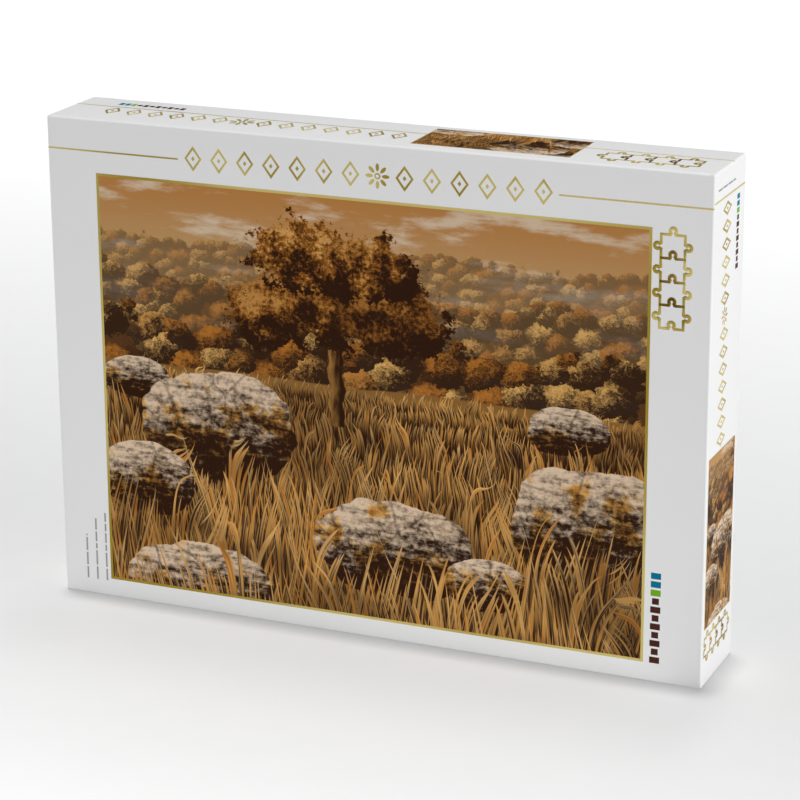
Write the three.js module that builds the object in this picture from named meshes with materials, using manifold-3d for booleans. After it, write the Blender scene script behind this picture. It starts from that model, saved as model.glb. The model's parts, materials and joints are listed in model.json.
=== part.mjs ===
// A closed jigsaw puzzle box, standing upright on its long side. It is a rigid two-piece cardboard box:
// the printed lid faces the viewer and slides off a plain tray, which holds the pieces in a film bag.
// Frame, in millimetres: +X right along the width, -Y out of the printed front, +Z up,
// origin at the middle of the base.
import * as THREE from "three";
import { RoundedBoxGeometry } from "three/addons/geometries/RoundedBoxGeometry.js";
import { mergeVertices } from "three/addons/utils/BufferGeometryUtils.js";
import Module from "manifold-3d";

const wasm = await Module();
wasm.setup();

// Lid: greyboard with a printed wrap, open at the back. Its depth is the box's depth.
const LID_WIDTH = 373;
const LID_DEPTH = 52.5;
const LID_HEIGHT = 272;
const LID_WALL = 2;
const LID_EDGE_RADIUS = 1.25;

// Tray: it fills the lid, open towards the printed front, with its floor flush with the lid's rim.
const TRAY_WALL = 1.75;
const TRAY_EDGE_RADIUS = 1;
const TRAY_CLEARANCE = 0.75;
const TRAY_RIM_GAP = 0.5;
const EDGE_STEPS = 3;

// Hems: strips of the wrap, folded over each rim and glued down inside.
const HEM_DEPTH = 15;
const HEM_THICKNESS = 0.25;

// Print: each picture, frame and foil rule is a thin layer let in flush with the lid's face.
const PRINT_THICKNESS = 0.25;
const PRINT_BACKING_GAP = 0.0625;

// Front picture with its foil frame. A place on a face is given by u and v: on the front and the sides
// v runs up from the base, and on the top, bottom and sides the depth is measured back from the front.
const FRAME_WIDTH = 312.25;
const FRAME_HEIGHT = 232.25;
const FRAME_CENTRE_X = -1.375;
const FRAME_BASE_Z = 10.4375;
const FRAME_BAND = 1.5;

// Small pictures on the top and bottom walls, and on the two end walls.
const TOP_PICTURE = { u: [21.5, 107.25], v: [9.25, 45.75] };
const END_PICTURE = { u: [3, 47], v: [32, 123.5] };

// Foil rules, each a narrow line that stops where the edge begins to round.
const RULE_WIDTH = 0.875;
const FRONT_RULE_Z = 254.5;
const FRONT_RULE_GAP = [-108, 105.5];
const TOP_RULE_DEPTH = 32.5;
const END_RULE_Z = 256.875;

// Bag: film round the loose pieces, which have slid down to the lower wall of the upright tray.
const BAG_WIDTH = 346;
const BAG_GAP = 0.5;
const BAG_MIDDLE_HEIGHT = 104;
const BAG_END_HEIGHT = 84;
const BAG_STEPS = { across: 28, depth: 6, up: 12 };

// Places worked out from the sizes above.
const half = { x: LID_WIDTH / 2, y: LID_DEPTH / 2 };
const trayOuter = {
  x: half.x - LID_WALL - TRAY_CLEARANCE,
  front: -half.y + LID_WALL + TRAY_RIM_GAP,
  back: half.y,
  low: LID_WALL + TRAY_CLEARANCE,
  high: LID_HEIGHT - LID_WALL - TRAY_CLEARANCE,
};
const trayInner = {
  x: trayOuter.x - TRAY_WALL,
  back: trayOuter.back - TRAY_WALL,
  low: trayOuter.low + TRAY_WALL,
  high: trayOuter.high - TRAY_WALL,
};

const finish = (color, roughness, metalness = 0) =>
  new THREE.MeshStandardMaterial({ color, roughness, metalness });

const finishes = {
  wrap: () => finish(0xf2f2f1, 0.45),
  plainWrap: () => finish(0xf4f3f0, 0.55),
  picture: () => finish(0xa8814a, 0.4),
  foil: () => finish(0xb39a3c, 0.35, 0.7),
  bag: () => finish(0xb49a78, 0.6),
};

// A closed three.js geometry as a solid for cutting.
function asSolid(geometry) {
  const bare = geometry.clone();
  bare.deleteAttribute("normal");
  bare.deleteAttribute("uv");
  const merged = mergeVertices(bare);
  return new wasm.Manifold(
    new wasm.Mesh({
      numProp: 3,
      vertProperties: new Float32Array(merged.attributes.position.array),
      triVerts: new Uint32Array(merged.index.array),
    }),
  );
}

// A solid back as a three.js geometry.
function asGeometry(solid) {
  const cut = solid.getMesh();
  const geometry = new THREE.BufferGeometry();
  geometry.setAttribute("position", new THREE.BufferAttribute(cut.vertProperties, 3));
  geometry.setIndex(new THREE.BufferAttribute(cut.triVerts, 1));
  geometry.computeVertexNormals();
  return geometry;
}

// Size and centre of the block between two corners.
function block(low, high) {
  const from = new THREE.Vector3(...low);
  const to = new THREE.Vector3(...high);
  return {
    size: to.clone().sub(from),
    centre: from.clone().add(to).multiplyScalar(0.5),
  };
}

function blockSolid({ size, centre }) {
  return asSolid(new THREE.BoxGeometry(...size).translate(...centre));
}

// A rigid box with rounded edges and one open side, which faces -Y or +Y.
function openBox({ low, high, wall, radius, openTowards }) {
  const outer = block(low, high);
  const shell = new RoundedBoxGeometry(...outer.size, EDGE_STEPS, radius).translate(...outer.centre);
  const past = 2 * wall;
  const hollow = block(
    [low[0] + wall, openTowards < 0 ? low[1] - past : low[1] + wall, low[2] + wall],
    [high[0] - wall, openTowards > 0 ? high[1] + past : high[1] - wall, high[2] - wall],
  );
  return asSolid(shell).subtract(blockSolid(hollow));
}

// The block that a flat layer fills on one face of the lid, from the face inwards.
function layerOn(face, u, v, thickness) {
  const front = -half.y;
  switch (face) {
    case "front":
      return block([u[0], front, v[0]], [u[1], front + thickness, v[1]]);
    case "top":
      return block(
        [u[0], front + v[0], LID_HEIGHT - thickness],
        [u[1], front + v[1], LID_HEIGHT],
      );
    case "bottom":
      return block([u[0], front + v[0], 0], [u[1], front + v[1], thickness]);
    case "right":
      return block([half.x - thickness, front + u[0], v[0]], [half.x, front + u[1], v[1]]);
    case "left":
      return block([-half.x, front + u[0], v[0]], [-half.x + thickness, front + u[1], v[1]]);
    default:
      throw new Error(`no face ${face}`);
  }
}

// Every printed rectangle: its name, its finish, its face and its place there.
function printLayers() {
  const flatEdge = half.x - LID_EDGE_RADIUS;
  const ruleAt = (middle) => [middle - RULE_WIDTH / 2, middle + RULE_WIDTH / 2];
  const inFrame = {
    u: [
      FRAME_CENTRE_X - FRAME_WIDTH / 2 + FRAME_BAND,
      FRAME_CENTRE_X + FRAME_WIDTH / 2 - FRAME_BAND,
    ],
    v: [FRAME_BASE_Z + FRAME_BAND, FRAME_BASE_Z + FRAME_HEIGHT - FRAME_BAND],
  };
  const layers = [
    { name: "picture_front", finish: "picture", face: "front", ...inFrame },
    {
      name: "rule_front_left",
      finish: "foil",
      face: "front",
      u: [-flatEdge, FRONT_RULE_GAP[0]],
      v: ruleAt(FRONT_RULE_Z),
    },
    {
      name: "rule_front_right",
      finish: "foil",
      face: "front",
      u: [FRONT_RULE_GAP[1], flatEdge],
      v: ruleAt(FRONT_RULE_Z),
    },
  ];
  for (const face of ["top", "bottom"]) {
    layers.push(
      { name: `picture_${face}`, finish: "picture", face, ...TOP_PICTURE },
      {
        name: `rule_${face}_left`,
        finish: "foil",
        face,
        u: [-flatEdge, TOP_PICTURE.u[0]],
        v: ruleAt(TOP_RULE_DEPTH),
      },
      {
        name: `rule_${face}_right`,
        finish: "foil",
        face,
        u: [TOP_PICTURE.u[1], flatEdge],
        v: ruleAt(TOP_RULE_DEPTH),
      },
    );
  }
  for (const face of ["right", "left"]) {
    layers.push(
      { name: `picture_${face}`, finish: "picture", face, ...END_PICTURE },
      {
        name: `rule_${face}`,
        finish: "foil",
        face,
        u: [LID_EDGE_RADIUS, LID_DEPTH - LID_EDGE_RADIUS],
        v: ruleAt(END_RULE_Z),
      },
    );
  }
  return layers;
}

function addBlock(group, name, { size, centre }, material) {
  const mesh = new THREE.Mesh(new THREE.BoxGeometry(...size), material);
  mesh.name = name;
  mesh.position.copy(centre);
  group.add(mesh);
}

// The foil frame round the front picture: a flat band with a rectangular opening.
function foilFrame() {
  const rectangle = (path, width, height) =>
    path
      .moveTo(-width / 2, -height / 2)
      .lineTo(width / 2, -height / 2)
      .lineTo(width / 2, height / 2)
      .lineTo(-width / 2, height / 2)
      .closePath();
  const outline = new THREE.Shape();
  const opening = new THREE.Path();
  rectangle(outline, FRAME_WIDTH, FRAME_HEIGHT);
  rectangle(opening, FRAME_WIDTH - 2 * FRAME_BAND, FRAME_HEIGHT - 2 * FRAME_BAND);
  outline.holes.push(opening);
  const band = new THREE.ExtrudeGeometry(outline, { depth: PRINT_THICKNESS, bevelEnabled: false });
  const mesh = new THREE.Mesh(band, finishes.foil());
  mesh.name = "frame_front";
  mesh.rotation.x = Math.PI / 2;
  mesh.position.set(FRAME_CENTRE_X, -half.y + PRINT_THICKNESS, FRAME_BASE_Z + FRAME_HEIGHT / 2);
  return mesh;
}

// The lid's board and wrap, with a shallow recess for each printed layer.
function lidShell() {
  let shell = openBox({
    low: [-half.x, -half.y, 0],
    high: [half.x, half.y, LID_HEIGHT],
    wall: LID_WALL,
    radius: LID_EDGE_RADIUS,
    openTowards: 1,
  });
  const recessDepth = PRINT_THICKNESS + PRINT_BACKING_GAP;
  const framed = {
    face: "front",
    u: [FRAME_CENTRE_X - FRAME_WIDTH / 2, FRAME_CENTRE_X + FRAME_WIDTH / 2],
    v: [FRAME_BASE_Z, FRAME_BASE_Z + FRAME_HEIGHT],
  };
  const letIn = printLayers().filter(({ name }) => name !== "picture_front");
  for (const { face, u, v } of [framed, ...letIn]) {
    shell = shell.subtract(blockSolid(layerOn(face, u, v, recessDepth)));
  }
  const mesh = new THREE.Mesh(asGeometry(shell), finishes.wrap());
  mesh.name = "lid_shell";
  return mesh;
}

function trayShell() {
  const shell = openBox({
    low: [-trayOuter.x, trayOuter.front, trayOuter.low],
    high: [trayOuter.x, trayOuter.back, trayOuter.high],
    wall: TRAY_WALL,
    radius: TRAY_EDGE_RADIUS,
    openTowards: -1,
  });
  const mesh = new THREE.Mesh(asGeometry(shell), finishes.plainWrap());
  mesh.name = "tray_shell";
  return mesh;
}

// Four hem strips inside a rim. The upper and lower ones run the full width, and the end ones fit between.
function addHems(group, prefix, { x, low, high }, depthFrom, material) {
  const y = [depthFrom, depthFrom + HEM_DEPTH];
  const t = HEM_THICKNESS;
  addBlock(group, `${prefix}_hem_bottom`, block([-x, y[0], low], [x, y[1], low + t]), material());
  addBlock(group, `${prefix}_hem_top`, block([-x, y[0], high - t], [x, y[1], high]), material());
  const ends = { left: [-x, -x + t], right: [x - t, x] };
  for (const [side, [from, to]] of Object.entries(ends)) {
    addBlock(
      group,
      `${prefix}_hem_${side}`,
      block([from, y[0], low + t], [to, y[1], high - t]),
      material(),
    );
  }
}

// The bag of loose pieces: a pillow, flat against the tray's floor and lower wall, thinner at its ends
// and towards its top, and highest in the middle.
function pieceBag() {
  const { across, depth, up } = BAG_STEPS;
  const bag = new THREE.BoxGeometry(2, 2, 2, across, depth, up);
  const place = bag.attributes.position;
  const front = trayOuter.front + BAG_GAP;
  const back = trayInner.back - BAG_GAP;
  for (let i = 0; i < place.count; i += 1) {
    const [u, v, w] = [place.getX(i), place.getY(i), place.getZ(i)];
    const rise = (w + 1) / 2;
    const endFall = Math.abs(u) ** 3;
    const height = THREE.MathUtils.lerp(BAG_MIDDLE_HEIGHT, BAG_END_HEIGHT, endFall);
    const crown = 1 - 0.12 * v * v * rise;
    const fullness = (1 - 0.45 * u ** 8) * (1 - 0.4 * rise ** 3);
    const forward = (v - 1) / 2;
    place.setXYZ(
      i,
      (u * BAG_WIDTH * (1 - 0.05 * rise ** 2 - 0.03 * v * v)) / 2,
      back + forward * (back - front) * fullness,
      trayInner.low + BAG_GAP + rise * height * crown,
    );
  }
  bag.computeVertexNormals();
  const mesh = new THREE.Mesh(bag, finishes.bag());
  mesh.name = "piece_bag";
  return mesh;
}

function lid() {
  const group = new THREE.Group();
  group.add(lidShell(), foilFrame());
  for (const { name, finish: look, face, u, v } of printLayers()) {
    addBlock(group, name, layerOn(face, u, v, PRINT_THICKNESS), finishes[look]());
  }
  const inner = { x: half.x - LID_WALL, low: LID_WALL, high: LID_HEIGHT - LID_WALL };
  addHems(group, "lid", inner, half.y - HEM_DEPTH, finishes.wrap);
  return group;
}

function tray() {
  const group = new THREE.Group();
  group.add(trayShell(), pieceBag());
  addHems(group, "tray", trayInner, trayOuter.front, finishes.plainWrap);
  return group;
}

const box = new THREE.Group();
box.add(lid(), tray());

export default box;
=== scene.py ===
# A closed jigsaw puzzle box on a pale floor: a rigid cardboard lid with a printed wrap, which slides
# off a plain tray holding a film bag of loose pieces. Lengths are in metres. +X runs right along the
# width, -Y out of the printed front and +Z up, with the origin at the middle of the base.
import json
import math
import random

import bmesh
import bpy
from mathutils import Matrix, Vector, noise

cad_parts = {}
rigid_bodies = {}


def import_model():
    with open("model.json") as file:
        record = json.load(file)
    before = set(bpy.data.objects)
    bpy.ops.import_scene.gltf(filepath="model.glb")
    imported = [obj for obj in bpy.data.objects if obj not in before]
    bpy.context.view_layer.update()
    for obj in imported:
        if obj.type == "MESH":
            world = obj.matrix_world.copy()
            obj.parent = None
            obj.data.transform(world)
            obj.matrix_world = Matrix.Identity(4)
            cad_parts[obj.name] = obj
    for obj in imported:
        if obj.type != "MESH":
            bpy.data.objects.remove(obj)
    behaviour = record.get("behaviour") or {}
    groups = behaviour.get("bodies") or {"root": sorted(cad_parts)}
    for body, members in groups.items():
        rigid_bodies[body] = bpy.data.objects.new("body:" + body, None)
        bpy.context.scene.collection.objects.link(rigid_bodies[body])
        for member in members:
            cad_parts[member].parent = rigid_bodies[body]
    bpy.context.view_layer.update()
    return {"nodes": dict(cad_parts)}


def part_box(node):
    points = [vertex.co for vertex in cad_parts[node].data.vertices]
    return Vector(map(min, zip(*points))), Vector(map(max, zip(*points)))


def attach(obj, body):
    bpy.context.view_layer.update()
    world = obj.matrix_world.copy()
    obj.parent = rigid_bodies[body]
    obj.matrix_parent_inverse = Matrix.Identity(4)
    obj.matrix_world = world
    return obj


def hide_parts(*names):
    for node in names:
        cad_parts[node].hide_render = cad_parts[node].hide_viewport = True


bl_info = {
    "name": "Jigsaw Puzzle Box",
    "version": (1, 0, 0),
    "blender": (4, 5, 0),
    "location": "View3D > Sidebar > Puzzle Box",
    "description": "Dresses a rigid two-piece puzzle box: wrap, prints, foil, tray and bagged pieces",
    "category": "Object",
}

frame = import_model()
MM = 0.001

LID_LOW, LID_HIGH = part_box("lid_shell")
TRAY_LOW, TRAY_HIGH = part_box("tray_shell")
FRAME_LOW, FRAME_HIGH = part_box("frame_front")
HALF_WIDTH = LID_HIGH.x
FRONT_Y = LID_LOW.y
BACK_Y = LID_HIGH.y
BOX_HEIGHT = LID_HIGH.z
BOX_DEPTH = BACK_Y - FRONT_Y
DONE = {"FINISHED"}


# Values a user would change

def length(name, about, default):
    return bpy.props.FloatProperty(name=name, description=about, default=default, unit="LENGTH")


def angle(name, about, degrees):
    turn = math.radians(degrees)
    return bpy.props.FloatProperty(name=name, description=about, default=turn, subtype="ANGLE")


def count(name, about, default, least=0):
    return bpy.props.IntProperty(name=name, description=about, default=default, min=least)


def colour(name, about, *rgb):
    shown = {"subtype": "COLOR", "size": 4, "default": (*rgb, 1)}
    return bpy.props.FloatVectorProperty(name=name, description=about, **shown)


class PUZZLEBOX_PG_wrap(bpy.types.PropertyGroup):
    edge_radius: length("Edge radius", "Rounding of the wrapped outer edges", 1.25 * MM)
    lid_board: length("Lid board", "Thickness of the lid's board with its wrap", 1.95 * MM)
    tray_board: length("Tray board", "Thickness of the tray's board with its wrap", 1.75 * MM)
    print_relief: length("Print relief", "How far prints and foil stand out of the wrap", 0.05 * MM)
    paper: colour("Paper", "Colour of the lid's coated wrap", 0.9, 0.9, 0.9)
    tray_paper: colour("Tray paper", "Colour of the tray's wrap", 0.86, 0.855, 0.84)
    board: colour("Board", "Colour of the bare greyboard inside", 0.36, 0.33, 0.285)


class PUZZLEBOX_PG_print(bpy.types.PropertyGroup):
    haze: colour("Haze", "Warm haze of the sky", 0.54, 0.33, 0.145)
    straw: colour("Straw", "Lit blades of dry grass and the brightest leaves", 0.78, 0.44, 0.13)
    rust: colour("Rust", "Turned leaves", 0.48, 0.172, 0.022)
    shade: colour("Shade", "Deepest brown of the picture", 0.020, 0.005, 0.001)
    stone: colour("Stone", "Lit side of the boulders", 0.80, 0.60, 0.42)


class PUZZLEBOX_PG_foil(bpy.types.PropertyGroup):
    light: colour("Light gold", "Lightest tone of the foil", 0.64, 0.52, 0.17)
    dark: colour("Dark gold", "Darkest tone of the foil", 0.36, 0.25, 0.018)
    cells: count("Cells", "Motifs in the frieze, the rosette among them", 14, 3)
    rosette_cell: count("Rosette cell", "Cell of the frieze with the rosette, counted from 0", 7)


class PUZZLEBOX_PG_pieces(bpy.types.PropertyGroup):
    width: length("Piece width", "Body of one loose piece, knobs left out", 17.0 * MM)
    thickness: length("Piece thickness", "Thickness of the pressed board", 1.8 * MM)
    layers: count("Layers", "Layers of loose pieces under the film", 3, 1)
    seed: count("Seed", "Seed of the loose pieces' places", 11)


class PUZZLEBOX_PG_stage(bpy.types.PropertyGroup):
    lens: bpy.props.FloatProperty(
        name="Lens", description="Focal length on a sensor 36 mm wide", default=129.48
    )
    yaw: angle("Yaw", "Turn of the camera from looking straight at the front", 23.143)
    pitch: angle("Pitch", "Tilt of the camera below the horizon", -17.801)
    roll: angle("Roll", "Roll of the camera", 0.307)
    camera: bpy.props.FloatVectorProperty(
        name="Camera", description="Place of the camera", default=(0.5816, -1.34345, 0.5965)
    )


class PUZZLEBOX_PG_box(bpy.types.PropertyGroup):
    wrap: bpy.props.PointerProperty(type=PUZZLEBOX_PG_wrap)
    prints: bpy.props.PointerProperty(type=PUZZLEBOX_PG_print)
    foil: bpy.props.PointerProperty(type=PUZZLEBOX_PG_foil)
    pieces: bpy.props.PointerProperty(type=PUZZLEBOX_PG_pieces)
    stage: bpy.props.PointerProperty(type=PUZZLEBOX_PG_stage)


def settings():
    return bpy.context.scene.puzzle_box


# Node trees

class Graph:
    """Adds nodes to one tree. A value given to a node is a socket, which is linked, or a constant."""

    def __init__(self, tree):
        self.tree = tree

    def node(self, kind, values=(), **how):
        made = self.tree.nodes.new(kind)
        for name, value in how.items():
            setattr(made, name, value)
        self.fill(made, values)
        return made

    def fill(self, node, values):
        for key, value in dict(values).items():
            self.feed(node.inputs[key], value)

    def feed(self, socket, value):
        if isinstance(value, bpy.types.NodeSocket):
            self.tree.links.new(value, socket)
        elif value is not None:
            socket.default_value = value

    def geo(self, kind, values=(), **how):
        """First output of a new geometry node."""
        return self.node(f"GeometryNode{kind}", values, **how).outputs[0]

    def join(self, *shapes):
        made = self.node("GeometryNodeJoinGeometry")
        for shape in shapes:
            self.tree.links.new(shape, made.inputs[0])
        return made.outputs[0]

    def math(self, operation, *values):
        return self.node("ShaderNodeMath", enumerate(values), operation=operation).outputs[0]

    def add(self, a, b):
        return self.math("ADD", a, b)

    def sub(self, a, b):
        return self.math("SUBTRACT", a, b)

    def mul(self, a, b):
        return self.math("MULTIPLY", a, b)

    def fma(self, a, b, c):
        return self.math("MULTIPLY_ADD", a, b, c)

    def sway(self, value, reach, middle):
        """The middle, moved by how far a value around 0.5 is off it."""
        return self.fma(self.sub(value, 0.5), reach, middle)

    def smooth(self, value, low, high):
        values = {"Value": value, "From Min": low, "From Max": high}
        return self.node("ShaderNodeMapRange", values, interpolation_type="SMOOTHSTEP").outputs[0]

    def mix(self, factor, a, b, blend="MIX"):
        # The Mix node has sockets for each type. Inputs 6 and 7 and output 2 are those for colours.
        made = self.node("ShaderNodeMix", data_type="RGBA", blend_type=blend)
        self.fill(made, {0: factor, 6: a, 7: b})
        return made.outputs[2]

    def dimmed(self, colour, tone):
        return self.mix(1.0, colour, self.xyz(tone, tone, tone), "MULTIPLY")

    def xyz(self, x, y, z=0.0):
        return self.node("ShaderNodeCombineXYZ", {"X": x, "Y": y, "Z": z}).outputs[0]

    def split(self, vector):
        return self.node("ShaderNodeSeparateXYZ", {"Vector": vector}).outputs[:3]

    def vector(self, operation, *values, scale=None):
        made = self.node("ShaderNodeVectorMath", enumerate(values), operation=operation)
        if scale is not None:
            self.feed(made.inputs["Scale"], scale)
        return made.outputs["Value" if operation == "DOT_PRODUCT" else "Vector"]

    def noise(self, place, scale, detail=2.0, rough=0.5, output=0):
        values = {"Vector": place, "Scale": scale, "Detail": detail, "Roughness": rough}
        return self.node("ShaderNodeTexNoise", values).outputs[output]

    def noise_1d(self, place, scale, detail=2.0, rough=0.5):
        values = {"W": place, "Scale": scale, "Detail": detail, "Roughness": rough}
        return self.node("ShaderNodeTexNoise", values, noise_dimensions="1D").outputs[0]

    def bump(self, height, strength, distance):
        values = {"Height": height, "Strength": strength, "Distance": distance}
        return self.node("ShaderNodeBump", values).outputs[0]

    def use(self, group, **values):
        kind = self.tree.bl_idname.removesuffix("Tree") + "Group"
        return self.node(kind, values, node_tree=group)


SOCKETS = {
    "value": "NodeSocketFloat",
    "count": "NodeSocketInt",
    "colour": "NodeSocketColor",
    "place": "NodeSocketVector",
    "shape": "NodeSocketGeometry",
    "material": "NodeSocketMaterial",
    "object": "NodeSocketObject",
}


def numbers(*names):
    return dict.fromkeys(names, "value")


AREA = {"Place": "place", "Centre": "place", "Size": "place"}
LAYER = numbers("Mask", "Tone", "Hue")
SHAPE = {"Geometry": "shape"}


def new_group(name, kind, inputs, outputs):
    """An empty group with named sockets: its graph, its input sockets in order and its output node."""
    tree = bpy.data.node_groups.new(name, f"{kind}NodeTree")
    for in_out, sockets in (("INPUT", inputs), ("OUTPUT", outputs)):
        for socket, sort in sockets.items():
            tree.interface.new_socket(name=socket, in_out=in_out, socket_type=SOCKETS[sort])
    given = tree.nodes.new("NodeGroupInput")
    out = tree.nodes.new("NodeGroupOutput")
    return Graph(tree), [given.outputs[socket] for socket in inputs], out


def group(kind, inputs, outputs):
    """Turns a function, which gives the outputs from the inputs, into one that gives a node group.

    The group is built on the first call only."""

    def decorate(build):
        name = build.__name__

        def find():
            found = bpy.data.node_groups.get(name)
            if found:
                return found
            g, given, out = new_group(name, kind, inputs, outputs)
            g.fill(out, build(g, *given))
            return g.tree

        return find

    return decorate


# Effects shared by the materials

@group("Shader", {"Place": "place", "Mottle": "value"}, numbers("Tone", "Grain", "Gloss"))
def coated_paper(g, place, mottle):
    """Coated paper: a soft mottle, fine grain for the bump, and a gloss that varies a little."""
    cloud = g.noise(place, 28.0, 3.0)
    fibre = g.noise(place, 2600.0, 2.0, 0.6)
    peel = g.noise(place, 420.0, 2.0)
    return {
        "Tone": g.sway(cloud, mottle, 1.0),
        "Grain": g.fma(fibre, 0.35, peel),
        "Gloss": g.sway(g.noise(place, 90.0), 0.12, 0.0),
    }


@group("Shader", AREA, numbers("Edge", "Corner"))
def edge_wear(g, place, centre, half_size):
    """How close a point is to the edges and corners of a box, broken up by noise."""
    span = g.vector("ABSOLUTE", g.vector("SUBTRACT", place, centre))
    x, y, z = g.split(g.vector("SUBTRACT", half_size, span))
    least_two = g.math("MAXIMUM", x, y)
    middle = g.math("MAXIMUM", g.math("MINIMUM", x, y), g.math("MINIMUM", least_two, z))
    most = g.math("MAXIMUM", least_two, z)
    rough = g.noise(place, 350.0, 4.0, 0.65)
    near = g.smooth(middle, 1.3 * MM, 0.2 * MM)
    tip = g.smooth(most, 5.0 * MM, 1.0 * MM)
    return {
        "Edge": g.mul(near, g.smooth(rough, 0.52, 0.7)),
        "Corner": g.mul(g.mul(tip, near), g.smooth(rough, 0.42, 0.58)),
    }


def new_material(name):
    """A node material. Gives it with its graph, its Principled shader and its own Object coordinates."""
    made = bpy.data.materials.new(name)
    made.use_nodes = True
    g = Graph(made.node_tree)
    shader = made.node_tree.nodes["Principled BSDF"]
    place = g.node("ShaderNodeTexCoord").outputs["Object"]
    return made, g, shader, place


def paper_material(name, colour, low, high, coat=0.04, wear=0.35):
    """The wrap: coated paper over board, with faint scuffs on the edges of the box between low and high."""
    scuffed_paper, bared_board = (0.62, 0.6, 0.56, 1), (0.45, 0.41, 0.35, 1)
    made, g, shader, place = new_material(name)
    paper = g.use(coated_paper(), Place=place, Mottle=0.03)
    worn = g.use(edge_wear(), Place=place, Centre=(low + high) / 2, Size=(high - low) / 2)
    base = g.dimmed(tuple(colour), paper.outputs["Tone"])
    scuffed = g.mix(g.mul(worn.outputs["Edge"], 0.25 * wear), base, scuffed_paper)
    values = {
        "Base Color": g.mix(g.mul(worn.outputs["Corner"], wear), scuffed, bared_board),
        "Roughness": g.add(paper.outputs["Gloss"], 0.5),
        "Coat Weight": coat,
        "Coat Roughness": 0.3,
        "Normal": g.bump(paper.outputs["Grain"], 0.05, 0.08 * MM),
    }
    g.fill(shader, values)
    return made


def board_material():
    """Bare greyboard: pressed waste paper with darker and lighter fibres."""
    fleck_colour = (0.2, 0.18, 0.16, 1)
    made, g, shader, place = new_material("greyboard")
    cloud = g.noise(place, 60.0, 4.0, 0.6)
    long_way = g.node("ShaderNodeMapping", {"Vector": place, "Scale": (350.0, 350.0, 1400.0)}).outputs[0]
    fibre = g.noise(long_way, 1.0, 3.0, 0.7)
    speck = g.node("ShaderNodeTexVoronoi", {"Vector": place, "Scale": 900.0}).outputs["Distance"]
    tone = g.sway(cloud, 0.25, g.sway(fibre, 0.35, 1.0))
    tinted = g.dimmed(tuple(settings().wrap.board), tone)
    values = {
        "Base Color": g.mix(g.smooth(speck, 0.16, 0.05), tinted, fleck_colour),
        "Roughness": g.fma(fibre, 0.12, 0.82),
        "Normal": g.bump(fibre, 0.35, 0.15 * MM),
    }
    g.fill(shader, values)
    return made


# The printed picture: an evening meadow with boulders, an oak and wooded hills

PICTURE_ASPECT = (FRAME_HIGH.x - FRAME_LOW.x) / (FRAME_HIGH.z - FRAME_LOW.z)


# A layer of the picture gives a mask, a tone from dark to light, and a hue from rust (0) by straw (1) to
# stone (2). The layers are laid over each other as numbers, and coloured once at the end.

@group("Shader", {"Place": "place", **numbers("Foot", "Height", "Blades", "Lean", "Seed")}, LAYER)
def grass_row(g, place, foot, height, blades, tilt, seed):
    """One row of dry grass: leaning tufts of mixed height, dark at the foot and pale at the tip."""
    u, v, _ = g.split(place)
    up = g.math("DIVIDE", g.sub(v, foot), height)
    tuft = g.noise_1d(g.add(u, seed), 11.0, 1.0)
    fan = g.noise_1d(g.fma(seed, 2.3, g.math("DIVIDE", u, height)), 1.3, 0.0)
    lean = g.sway(fan, 0.75, tilt)
    bend = g.mul(g.mul(up, g.add(up, 0.6)), lean)
    across = g.sub(u, g.mul(bend, g.mul(height, 0.5)))
    strand = g.fma(across, blades, seed)
    blade = g.noise(g.xyz(strand, g.fma(up, 0.2, seed)), 1.0, 1.0)
    reach = g.math("DIVIDE", up, g.fma(tuft, 1.5, 0.2))
    streak = g.noise(g.xyz(g.mul(strand, 1.6), g.fma(up, 0.5, 7.0)), 1.0, 2.0, 0.6)
    return {
        "Mask": g.smooth(g.sub(blade, g.fma(reach, 0.34, 0.30)), -0.012, 0.03),
        "Tone": g.smooth(g.sway(streak, 3.6, g.fma(reach, 0.85, 0.15)), 0.0, 1.0),
        "Hue": g.mul(g.smooth(streak, 0.66, 0.40), 1.25),
    }


def within(g, place, centre, size):
    """Place about centre as a share of size, across and up."""
    return g.split(g.vector("DIVIDE", g.vector("SUBTRACT", place, centre), size))[:2]


@group("Shader", AREA, LAYER)
def boulder(g, place, centre, size):
    """A weathered boulder: pale and pitted on top, dark below, with cracks and rusty patches."""
    x, y = within(g, place, centre, size)
    lumps = g.noise(place, 7.0, 4.0, 0.55)
    powers = [g.math("POWER", g.math("ABSOLUTE", side), 2.3) for side in (x, y)]
    rim = g.sway(lumps, 0.6, g.math("SQRT", g.add(*powers)))
    ledges = g.noise(g.xyz(x, g.mul(y, 2.6)), 2.4, 5.0, 0.6)
    grain = g.noise(place, 60.0, 6.0, 0.7)
    slope = g.fma(y, 0.75, g.fma(x, -0.20, 0.25))
    lit = g.sway(ledges, 2.8, g.sway(grain, 2.6, slope))
    cells = {"Vector": place, "Scale": 7.0}
    crack = g.node("ShaderNodeTexVoronoi", cells, feature="DISTANCE_TO_EDGE").outputs["Distance"]
    gap = g.smooth(g.sway(grain, 0.08, crack), 0.0, 0.035)
    rusty = g.smooth(g.fma(y, -0.14, g.noise(place, 12.0, 4.0, 0.6)), 0.62, 0.46)
    return {
        "Mask": g.smooth(rim, 1.0, 0.975),
        "Tone": g.mul(g.smooth(lit, -0.1, 1.2), g.fma(gap, 0.5, 0.5)),
        "Hue": g.fma(rusty, 1.7, 0.3),
    }


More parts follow.
